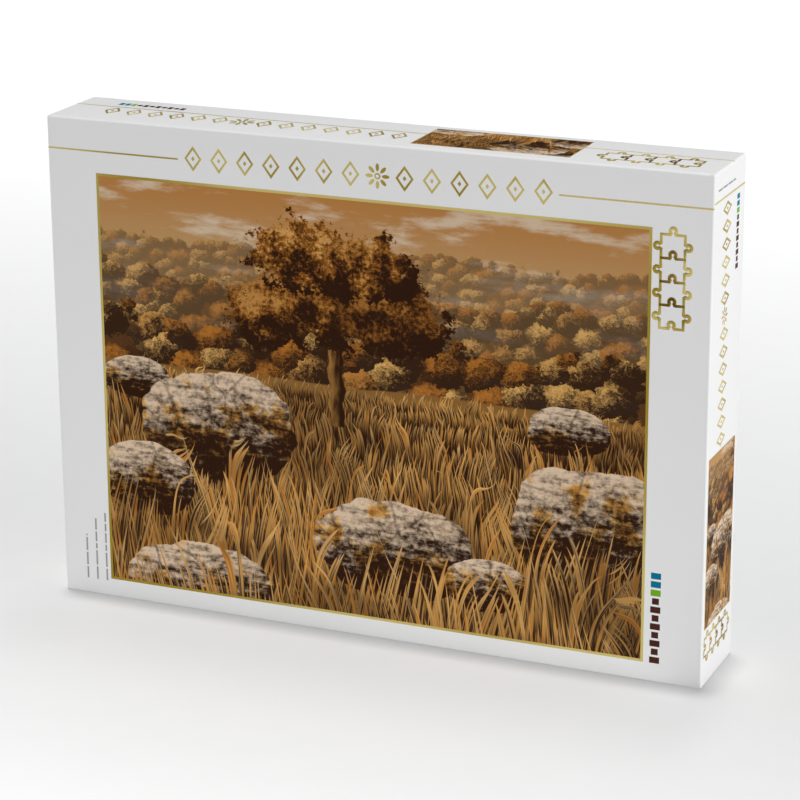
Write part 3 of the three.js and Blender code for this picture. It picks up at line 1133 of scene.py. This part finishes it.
class PUZZLEBOX_OT_foil(bpy.types.Operator):
    """Stamps the gold foil: the frame, the rules, the friezes and the rows of piece outlines"""

    bl_idname = "puzzle_box.stamp_foil"
    bl_label = "Foil"

    def execute(self, context):
        foil = settings().foil
        broad = foil_material("frame_foil", 9.0)
        shared = {"relief": settings().wrap.print_relief, "foil": foil_material("gold_foil", 42.0)}
        paint_nodes("frame_front", broad)
        paint_nodes("rule_", broad)
        self.add_rule_ends(broad)
        self.add_panel_lines(broad)
        for face, (place, turn, *sizes) in FRIEZES.items():
            piece = mesh_piece(f"foil_frieze_{face}", [], [])
            values = dict(zip(("pitch", "width", "height", "stroke"), (size * MM for size in sizes)))
            values |= {"cells": foil.cells, "rosette_cell": foil.rosette_cell}
            run_tree(piece, foil_frieze(), **values, **shared)
            put_print(piece, face, "foil", face_place(face, place), turn)
        for face, (place, turn, *sizes) in PIECE_ROWS.items():
            width, height, stroke = (size * MM for size in sizes)
            aside = Vector((KNOB_REACH * height / 2, 0))
            outline = [point - aside for point in piece_outline(width, height, (1, 1, 1, -1), 12)]
            count = len(outline)
            edges = [(i, (i + 1) % count) for i in range(count)]
            piece = mesh_piece(f"foil_pieces_{face}", outline, [], edges=edges)
            run_tree(piece, outline_row(), count=4, pitch=width, stroke=stroke, **shared)
            put_print(piece, face, "foil", face_place(face, place), turn)
        return DONE

    def add_panel_lines(self, foil):
        """Hairlines of foil round the pictures on the lid's walls."""
        line = 0.45 * MM
        for face in ("top", "bottom", "left", "right"):
            ends = [FACES[face].inverted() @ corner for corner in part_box(f"picture_{face}")]
            left, right = sorted(end.x for end in ends)
            lower, upper = sorted(end.y for end in ends)
            corners = []
            for out in (0, line):
                x0, x1, y0, y1 = left - out, right + out, lower - out, upper + out
                corners += [(x0, y0), (x1, y0), (x1, y1), (x0, y1)]
            faces = [(4 + i, 4 + (i + 1) % 4, (i + 1) % 4, i) for i in range(4)]
            piece = mesh_piece(f"foil_panel_{face}", corners, faces, foil)
            thicken(piece)
            put_print(piece, face, "foil")

    def add_rule_ends(self, foil):
        """Carries the foil rules round the lid's edges, each to the middle of the rounding."""
        radius = settings().wrap.edge_radius
        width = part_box("rule_right")[1].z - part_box("rule_right")[0].z
        front_z = sum(corner.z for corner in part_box("rule_front_right")) / 2
        end_z = sum(corner.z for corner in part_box("rule_right")) / 2
        top_y = sum(corner.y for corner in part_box("rule_top_right")) / 2
        lift, steps = 0.01 * MM, 6
        corners, faces = [], []

        def bend(x, y, z, along, start, turn):
            """A strip bent about a line through a point. start and turn are unit vectors."""
            base = len(corners)
            for step in range(steps + 1):
                angle = math.radians(45) * step / steps
                out = start * math.cos(angle) + turn * math.sin(angle)
                middle = Vector((x, y, z)) + out * (radius - SINK + lift)
                corners.extend((middle - along * width / 2, middle + along * width / 2))
            for a in range(base, base + 2 * steps, 2):
                faces.append((a, a + 1, a + 3, a + 2))

        for sign in (1, -1):
            side = X * sign
            x = sign * (HALF_WIDTH - radius)
            bend(x, FRONT_Y + radius, front_z, Z, -Y, side)
            bend(x, FRONT_Y + radius, end_z, Z, side, -Y)
            bend(x, BACK_Y - radius, end_z, Z, side, Y)
            bend(x, top_y, BOX_HEIGHT - radius, Y, Z, side)
            bend(x, top_y, radius, Y, -Z, side)
        ends = mesh_piece("foil_rule_ends", corners, faces, foil)
        face_outwards(ends)
        thicken(ends)
        place_piece(ends, "lid", "foil")


class PUZZLEBOX_OT_ink(bpy.types.Operator):
    """Prints the small plain marks: a strip of colour patches and grey hairlines"""

    bl_idname = "puzzle_box.print_marks"
    bl_label = "Small marks"

    def execute(self, context):
        teal = ink_material("ink_teal", 0.0, 0.19, 0.31)
        green = ink_material("ink_green", 0.2, 0.45, 0.02)
        brown = ink_material("ink_brown", 0.075, 0.022, 0.014)
        grey = ink_material("ink_grey", 0.36, 0.36, 0.36)
        for face, layout in STRIPS.items():
            self.add_strip(face, *layout, (teal, green, brown))
        for face, rows in LINES.items():
            self.add_lines(face, rows, grey)
        return DONE

    def add_strip(self, face, place, turn, length, height, inks):
        """A printer's colour bar: a row of small squares, brown first, then green and teal ones."""
        teal, green, brown = range(3)
        row = [brown] * 8 + [green, teal, teal]
        pitch = length * MM / (len(row) - 0.25)
        wide = pitch * 0.74
        squares = []
        for index, ink in enumerate(row):
            half = height * MM * (0.30 if ink == brown and index % 2 else 0.44)
            squares.append((index * pitch, -half, index * pitch + wide, half))
        piece = patches(f"ink_strip_{face}", squares, *inks)
        piece.data.polygons.foreach_set("material_index", row)
        thicken(piece)
        put_print(piece, face, "wrap", face_place(face, place), turn)

    def add_lines(self, face, rows, grey):
        """Grey hairlines broken at uneven places."""
        draw = random.Random(5)
        half, gap = 0.5 * MM, 1.1 * MM
        corners = []
        for place, turn, length in rows:
            local = on_plane(face_place(face, place), turn)
            at, end = 0.0, length * MM
            while at < end:
                dash = min(draw.uniform(3.0, 9.0) * MM, end - at)
                for x, y in ((at, -half), (at + dash, -half), (at + dash, half), (at, half)):
                    corners.append(local @ Vector((x, y, 0)))
                at += dash + gap
        piece = mesh_piece(f"ink_lines_{face}", corners, quads(corners), grey)
        thicken(piece)
        put_print(piece, face, "wrap")


class PUZZLEBOX_OT_tray(bpy.types.Operator):
    """Adds the plain tray inside the lid, in place of its plain solid"""

    bl_idname = "puzzle_box.add_tray"
    bl_label = "Tray"

    def execute(self, context):
        wrap = settings().wrap
        low, high = TRAY_LOW.copy(), TRAY_HIGH.copy()
        radius, board, rim_out, rim_in = 1.4 * MM, wrap.tray_board, 1.0 * MM, 0.5 * MM
        section = arc(high.y - radius, radius, radius, 0, 90, 6)
        section += arc(low.y + rim_out, rim_out, rim_out, 90, 180, 6)
        section += [(low.y, board - rim_in)]
        section += arc(low.y + rim_in, board - rim_in, rim_in, 180, 270, 4)[1:]
        section += [(high.y - board, board)]
        paper = paper_material("tray_paper", wrap.tray_paper, low, high, coat=0.05)
        shell = lofted_box("tray_wrap", low, high, section, radius, 6, paper)
        place_piece(shell, "tray", "plain_wrap", "tray_shell")
        paint_nodes("tray_hem", paper_material("tray_hem_paper", wrap.tray_paper, low, high, wear=0.0))
        return DONE


# The bag of loose pieces

def bag_skin(name, depth, cuts, smooth):
    """A finer copy of the CAD bag's surface, moved inwards by depth."""
    source = frame["nodes"]["piece_bag"]
    shape = bmesh.new()
    shape.from_mesh(source.data)
    bmesh.ops.transform(shape, matrix=source.matrix_world, verts=shape.verts)
    bmesh.ops.remove_doubles(shape, verts=shape.verts, dist=1e-6)
    flat = {"angle_face_threshold": 0.6, "angle_shape_threshold": 1.2}
    bmesh.ops.join_triangles(shape, faces=shape.faces, **flat)
    if cuts:
        bmesh.ops.subdivide_edges(shape, edges=shape.edges, cuts=cuts, use_grid_fill=True)
    every_way = {f"use_axis_{axis}": True for axis in "xyz"}
    for _ in range(smooth):
        bmesh.ops.smooth_vert(shape, verts=shape.verts, factor=0.5, **every_way)
    bmesh.ops.recalc_face_normals(shape, faces=shape.faces)
    shape.normal_update()
    moves = [(vert, vert.normal * depth) for vert in shape.verts]
    for vert, move in moves:
        vert.co -= move
    mesh = bpy.data.meshes.new(name)
    shape.to_mesh(mesh)
    shape.free()
    mesh.polygons.foreach_set("material_index", [0] * len(mesh.polygons))
    return new_object(name, mesh)


def piece_shape(name, knobs, width, height, thickness):
    """One loose piece: printed on its upper face, with the face marked by an attribute."""
    outline = piece_outline(width, height, knobs, 5)
    count = len(outline)
    half = thickness / 2
    corners = [(point.x, point.y, z) for z in (-half, half) for point in outline]
    faces = [tuple(reversed(range(count))), range(count, 2 * count)]
    for i in range(count):
        j = (i + 1) % count
        faces.append((i, j, count + j, count + i))
    made = mesh_piece(name, corners, faces)
    printed = made.data.attributes.new("printed", "BOOLEAN", "FACE")
    printed.data.foreach_set("value", [index == 1 for index in range(len(faces))])
    return made


@group("Geometry", {**SHAPE, "Bag": "shape", "Margin": "value"}, {**SHAPE, "Outside": "value"})
def settle_in_bag(g, pieces, bag, margin):
    """Pushes each loose piece that reaches out of the bag back into it. Outside marks points still out."""
    push_share = -1.6
    here = g.geo("InputPosition")
    on_bag = []
    for value in (here, g.geo("InputNormal")):
        values = {"Mesh": bag, "Value": value, "Sample Position": here}
        on_bag.append(g.geo("SampleNearestSurface", values, data_type="FLOAT_VECTOR"))
    surface, normal = on_bag
    height = g.vector("DOT_PRODUCT", g.vector("SUBTRACT", here, surface), normal)
    past = g.math("MAXIMUM", g.add(height, margin), 0.0)
    island = g.node("GeometryNodeInputMeshIsland").outputs["Island Index"]

    def total(value, sort):
        values = {"Value": value, "Group ID": island}
        return g.node("GeometryNodeAccumulateField", values, data_type=sort).outputs["Total"]

    pushes = total(g.vector("SCALE", normal, scale=past), "FLOAT_VECTOR")
    outside = total(g.math("GREATER_THAN", past, 0.0), "FLOAT")
    share = g.math("DIVIDE", push_share, g.math("MAXIMUM", outside, 1.0))
    offset = g.vector("SCALE", pushes, scale=share)
    moved = g.geo("SetPosition", {"Geometry": pieces, "Offset": offset})
    return {"Geometry": moved, "Outside": outside}


HEAP = {
    **SHAPE,
    "Bag": "object",
    "Margin": "value",
    "Seed": "count",
    **numbers("Spacing", "Layer depth", "Tilt"),
    "Print": "material",
    "Board": "material",
}
# Spacing of each layer from the top, as a share of the first one's
LAYER_SPACING = (1.0, 0.86, 0.76, 0.7)
SETTLING_ROUNDS = 6
FACE_DOWN_SHARE = 0.4


def heap_tree(shapes, layers):
    """Loose pieces strewn over a skin in layers, each layer deeper and fuller than the one above."""
    g, given, out = new_group("piece_heap", "Geometry", HEAP, SHAPE)
    skin, bag, margin, first_seed, spacing, layer_depth, tilt, print_ink, board = given
    stored = {"data_type": "FLOAT_VECTOR"}

    def mark(geometry, name, value, domain):
        values = {"Geometry": geometry, "Name": name, "Value": value}
        return g.geo("StoreNamedAttribute", values, domain=domain, **stored)

    def chance(sort, seed, values=()):
        """A random value's outputs: 0 is the vector, 2 the whole number and 3 the yes or no."""
        made = g.node("FunctionNodeRandomValue", values, data_type=sort)
        g.feed(made.inputs["Seed"], seed)
        return made.outputs

    def rotated(rotation, turn):
        values = {"Rotation": rotation, "Rotate By": turn}
        return g.node("FunctionNodeRotateRotation", values, rotation_space="LOCAL").outputs[0]

    variants = []
    for shape in shapes:
        source = g.node("GeometryNodeObjectInfo", {"Object": shape}).outputs["Geometry"]
        marked = mark(source, "in_piece", g.geo("InputPosition"), "POINT")
        variants.append(g.geo("GeometryToInstance", {0: marked}))
    kinds = g.join(*variants)
    normal = g.geo("InputNormal")
    _, away, up = g.split(normal)
    chosen = g.mul(g.math("LESS_THAN", away, 0.3), g.math("GREATER_THAN", up, -0.5))
    heaps = []
    for layer in range(layers):
        inwards = g.vector("SCALE", normal, scale=g.mul(layer_depth, -float(layer)))
        seed = g.add(first_seed, float(layer * 7))
        values = {
            "Mesh": g.geo("SetPosition", {"Geometry": skin, "Offset": inwards}),
            "Selection": chosen,
            "Distance Min": g.mul(spacing, LAYER_SPACING[min(layer, 3)]),
            "Density Max": 30000.0,
            "Seed": seed,
        }
        kind = "GeometryNodeDistributePointsOnFaces"
        spread = g.node(kind, values, distribute_method="POISSON").outputs
        lean = g.mul(tilt, -1.0)
        turns = {0: g.xyz(lean, lean, -math.pi), 1: g.xyz(tilt, tilt, math.pi)}
        turned = rotated(spread["Rotation"], chance("FLOAT_VECTOR", g.add(seed, 3.0), turns)[0])
        over = chance("BOOLEAN", g.add(seed, 5.0), {"Probability": FACE_DOWN_SHARE})[3]
        pick = chance("INT", g.add(seed, 1.0), {4: 0, 5: len(shapes) - 1})[2]
        values = {
            "Points": spread["Points"],
            "Instance": kinds,
            "Pick Instance": True,
            "Instance Index": pick,
            "Rotation": rotated(turned, g.xyz(g.mul(over, math.pi), 0.0)),
        }
        strewn = g.geo("InstanceOnPoints", values)
        within_picture = {0: (0.03, 0.03, 0.0), 1: (PICTURE_ASPECT - 0.03, 0.97, 0.0)}
        cut = chance("FLOAT_VECTOR", g.add(seed, 2.0), within_picture)[0]
        heaps.append(mark(strewn, "cut_place", cut, "INSTANCE"))
    solid = g.geo("RealizeInstances", {"Geometry": g.join(*heaps)})
    limit = g.node("GeometryNodeObjectInfo", {"Object": bag}).outputs["Geometry"]
    for _ in range(SETTLING_ROUNDS):
        settled = g.use(settle_in_bag(), Geometry=solid, Bag=limit, Margin=margin)
        solid = settled.outputs["Geometry"]
    tried = g.use(settle_in_bag(), Geometry=solid, Bag=limit, Margin=g.sub(margin, 0.6 * MM))
    left_out = g.math("GREATER_THAN", tried.outputs["Outside"], 0.0)
    solid = g.geo("DeleteGeometry", {"Geometry": solid, "Selection": left_out})
    backed = g.geo("SetMaterial", {"Geometry": solid, "Material": board})
    printed = g.geo("InputNamedAttribute", {"Name": "printed"}, data_type="BOOLEAN")
    values = {"Geometry": backed, "Selection": printed, "Material": print_ink}
    g.fill(out, {"Geometry": g.geo("SetMaterial", values)})
    return g.tree


def piece_print_material():
    """The printed side of loose pieces: each shows its own true-scale cut of the picture."""
    picture_height = 0.48
    made, g, shader, place = new_material("piece_print")
    cut = g.node("ShaderNodeAttribute", attribute_name="cut_place").outputs["Vector"]
    within_piece = g.node("ShaderNodeAttribute", attribute_name="in_piece").outputs["Vector"]
    scaled = g.vector("SCALE", within_piece, scale=1.0 / picture_height)
    x, y, _ = g.split(g.vector("ADD", cut, scaled))
    finish_print(g, shader, place, landscape_at(g, g.xyz(x, y)))
    return made


def film_material():
    """Thin clear film: nothing but its sheen and pale painted highlights along its crease lines shows."""
    made, g, shader, place = new_material("clear_film")
    streaks = g.noise(place, 180.0, 3.0, 0.55)
    x, y, z = g.split(place)
    slanted = g.xyz(g.fma(z, 0.35, x), y, g.fma(x, -0.15, g.mul(z, 0.4)))
    folds = g.math("ABSOLUTE", g.sub(g.noise(slanted, 55.0, 3.0, 0.6), 0.5))
    # Painted highlights: the film is whiter and less clear along noise ridges that stand for crease lines
    painted_crease_highlights = g.mul(g.smooth(folds, 0.03, 0.0), g.smooth(g.noise(place, 30.0), 0.42, 0.62))
    values = {
        "Base Color": (0.93, 0.94, 0.95, 1),
        "Alpha": g.fma(painted_crease_highlights, 0.42, 0.15),
        "Roughness": g.fma(streaks, 0.12, 0.1),
        "IOR": 1.5,
        "Coat Weight": 0.5,
        "Normal": g.bump(streaks, 0.4, 0.6 * MM),
    }
    g.fill(shader, values)
    return made


class PUZZLEBOX_OT_pieces(bpy.types.Operator):
    """Fills the bag with loose pieces, strewn in layers over a solid heap"""

    bl_idname = "puzzle_box.add_pieces"
    bl_label = "Loose pieces"

    def execute(self, context):
        loose = settings().pieces
        size = loose.width, loose.width * 1.12, loose.thickness
        kinds = ((1, -1, 1, -1), (1, 1, -1, -1), (-1, -1, -1, 1), (1, 0, 1, -1))
        shapes = [piece_shape(f"piece_kind_{i}", knobs, *size) for i, knobs in enumerate(kinds)]
        board = board_material()
        heap = bag_skin("loose_pieces", 5.0 * MM, 1, 2)
        bag = bag_skin("bag_limit", 0.0, 0, 0)
        run_tree(
            heap,
            heap_tree(shapes, loose.layers),
            bag=bag,
            margin=1.3 * MM,
            seed=loose.seed,
            spacing=loose.width * 0.86,
            layer_depth=2.4 * MM,
            tilt=math.radians(13.0),
            print=piece_print_material(),
            board=board,
        )
        for shape in (*shapes, bag):
            bpy.data.objects.remove(shape)
        core = bag_skin("heap_core", 12.5 * MM, 1, 3)
        paint(core, board)
        for piece in (heap, core):
            place_piece(piece, "tray", "pieces", "piece_bag")
        return DONE


class PUZZLEBOX_OT_film(bpy.types.Operator):
    """Wraps the loose pieces in a crumpled film bag with a crimped seal at each end"""

    bl_idname = "puzzle_box.add_film"
    bl_label = "Film bag"

    def execute(self, context):
        clear = film_material()
        bag = bag_skin("film_bag", 0.3 * MM, 5, 2)
        paint(bag, clear)
        normals = [vert.normal.copy() for vert in bag.data.vertices]
        for vert, normal in zip(bag.data.vertices, normals):
            vert.co -= normal * self.crumple(vert.co)
        soften(bag, 80.0)
        place_piece(bag, "tray", "pieces", "piece_bag")
        self.add_seals(clear)
        return DONE

    def crumple(self, place):
        """How far the film lies in at a point: sharp folds that run mostly upwards, over soft dents."""
        x, y, z = place

        def ridge(spot):
            return max(1.0 - abs(noise.noise(spot)) * 2.0, 0.0)

        fold = ridge(Vector((x * 34.0 + z * 9.0, y * 30.0, z * 13.0)))
        cross = ridge(Vector((x * 17.0 - z * 30.0, y * 22.0, 4.0)))
        fine = ridge(place * 95.0)
        dent = noise.noise(place * 48.0) * 0.5 + 0.5
        return (1.5 * fold**4 + 0.9 * cross**5 + 0.4 * fine**3 + 0.9 * dent) * MM

    def add_seals(self, clear):
        """Flat crimped fins where the film is welded shut, at both ends of the bag."""
        low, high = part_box("piece_bag")
        middle_y = (low.y + high.y) / 2 + 7.0 * MM
        bottom, top = low.z + 3.0 * MM, low.z + 74.0 * MM
        rows, columns, reach, rooted = 70, 26, 7.5 * MM, 9.0 * MM
        width = columns + 1
        faces = []
        for start in range(0, rows * width, width):
            for a in range(start, start + columns):
                faces.append((a, a + 1, a + width + 1, a + width))
        for side, edge, sign in (("right", high.x, 1), ("left", low.x, -1)):
            corners = []
            for row in range(rows + 1):
                z = bottom + (top - bottom) * row / rows
                tooth = 0.6 * MM * abs((row * 0.5) % 1.0 - 0.5)
                for column in range(width):
                    out = column / columns
                    x = edge + sign * ((reach + rooted - tooth) * out - rooted)
                    crimp = 0.22 * MM * math.sin(out * math.tau * 5.0)
                    sway = 2.2 * MM * noise.noise(Vector((z * 28.0, out * 0.8, sign * 3.0)))
                    corners.append((x, middle_y + sway + crimp, z))
            fin = mesh_piece(f"film_seal_{side}", corners, faces, clear)
            thicken(fin, 0.06 * MM, 0.0)
            face_outwards(fin, weld=False)
            soften(fin)
            place_piece(fin, "tray", "pieces")


class PUZZLEBOX_PT_panel(bpy.types.Panel):
    """Lists the steps that dress the box"""

    bl_label = "Puzzle Box"
    bl_idname = "PUZZLEBOX_PT_panel"
    bl_space_type = "VIEW_3D"
    bl_region_type = "UI"
    bl_category = "Puzzle Box"

    def draw(self, context):
        for operator in STEPS:
            self.layout.operator(operator.bl_idname)


STEPS = (
    PUZZLEBOX_OT_stage,
    PUZZLEBOX_OT_lid,
    PUZZLEBOX_OT_pictures,
    PUZZLEBOX_OT_foil,
    PUZZLEBOX_OT_ink,
    PUZZLEBOX_OT_tray,
    PUZZLEBOX_OT_pieces,
    PUZZLEBOX_OT_film,
)
GROUPS = (
    PUZZLEBOX_PG_wrap,
    PUZZLEBOX_PG_print,
    PUZZLEBOX_PG_foil,
    PUZZLEBOX_PG_pieces,
    PUZZLEBOX_PG_stage,
    PUZZLEBOX_PG_box,
)


def register():
    for item in (*GROUPS, *STEPS, PUZZLEBOX_PT_panel):
        bpy.utils.register_class(item)
    bpy.types.Scene.puzzle_box = bpy.props.PointerProperty(type=PUZZLEBOX_PG_box)


def unregister():
    del bpy.types.Scene.puzzle_box
    for item in reversed((*GROUPS, *STEPS, PUZZLEBOX_PT_panel)):
        bpy.utils.unregister_class(item)


def main():
    register()
    for item in [item for item in bpy.data.objects if item.name in ("Cube", "Light", "Camera")]:
        bpy.data.objects.remove(item)
    bpy.ops.puzzle_box.add_stage()
    bpy.ops.puzzle_box.add_lid()
    bpy.ops.puzzle_box.print_pictures()
    bpy.ops.puzzle_box.stamp_foil()
    bpy.ops.puzzle_box.print_marks()
    bpy.ops.puzzle_box.add_tray()
    bpy.ops.puzzle_box.add_pieces()
    bpy.ops.puzzle_box.add_film()


if __name__ == "__main__":
    main()
